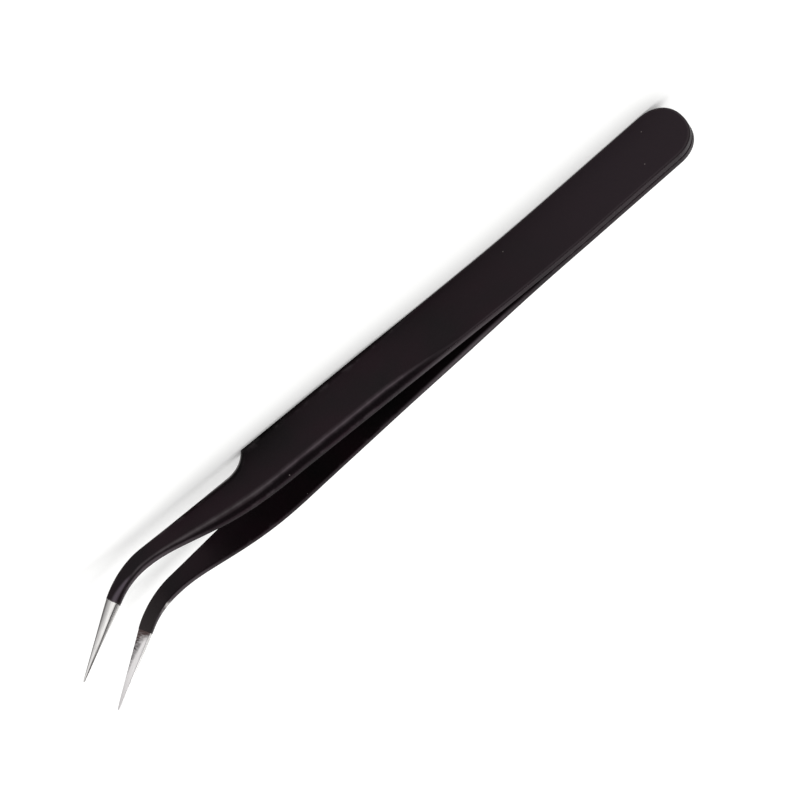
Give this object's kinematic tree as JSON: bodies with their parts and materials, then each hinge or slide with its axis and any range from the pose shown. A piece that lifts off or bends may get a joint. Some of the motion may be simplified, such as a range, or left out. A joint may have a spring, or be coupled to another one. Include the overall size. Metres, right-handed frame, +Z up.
{
  "type": "curved tweezers",
  "caption": "Self-opening precision tweezers with curved fine tips, a satin black anti-static coating and bare steel points, standing on their straight back edges.",
  "frame": {"origin": "middle of the tweezers' bounding box, on the surface that the straight back edges stand on", "axes": "+X along the leaves from the tail to the tips, +Y across the gap between the leaves, towards the rear leaf, +Z up from the back edges to the belly edges, the way the tips curve"},
  "size_m": [0.12, 0.0122, 0.0138],
  "materials": {
    "coated_steel": "satin black anti-static coating",
    "bare_steel": "ground and lapped",
    "weld_metal": "as welded, hidden"
  },
  "bodies": {
    "tail": {"front_tail": "coated_steel", "rear_tail": "coated_steel", "tail_weld": "weld_metal", "spring_weld": "weld_metal", "front_spring": "coated_steel", "rear_spring": "coated_steel"},
    "front_arm": {"front_grip": "coated_steel", "front_neck": "coated_steel", "front_tip": "bare_steel"},
    "rear_arm": {"rear_grip": "coated_steel", "rear_neck": "coated_steel", "rear_tip": "bare_steel"}
  },
  "joints": [
    {"name": "front_flex", "type": "hinge", "parent": "tail", "child": "front_arm", "pos_m": [-0.01998, -0.0013, 0.0049], "axis": [0, 0, 1], "range_deg": [0, 4.03], "stiffness_Nm_per_rad": 4, "deforming": ["front_spring"]},
    {"name": "rear_flex", "type": "hinge", "parent": "tail", "child": "rear_arm", "pos_m": [-0.01998, 0.0013, 0.0049], "axis": [0, 0, 1], "range_deg": [-4.03, 0], "stiffness_Nm_per_rad": 4, "deforming": ["rear_spring"]}
  ],
  "couplings": [
    {"joint": "rear_flex", "follows": "front_flex", "ratio": -1}
  ]
}
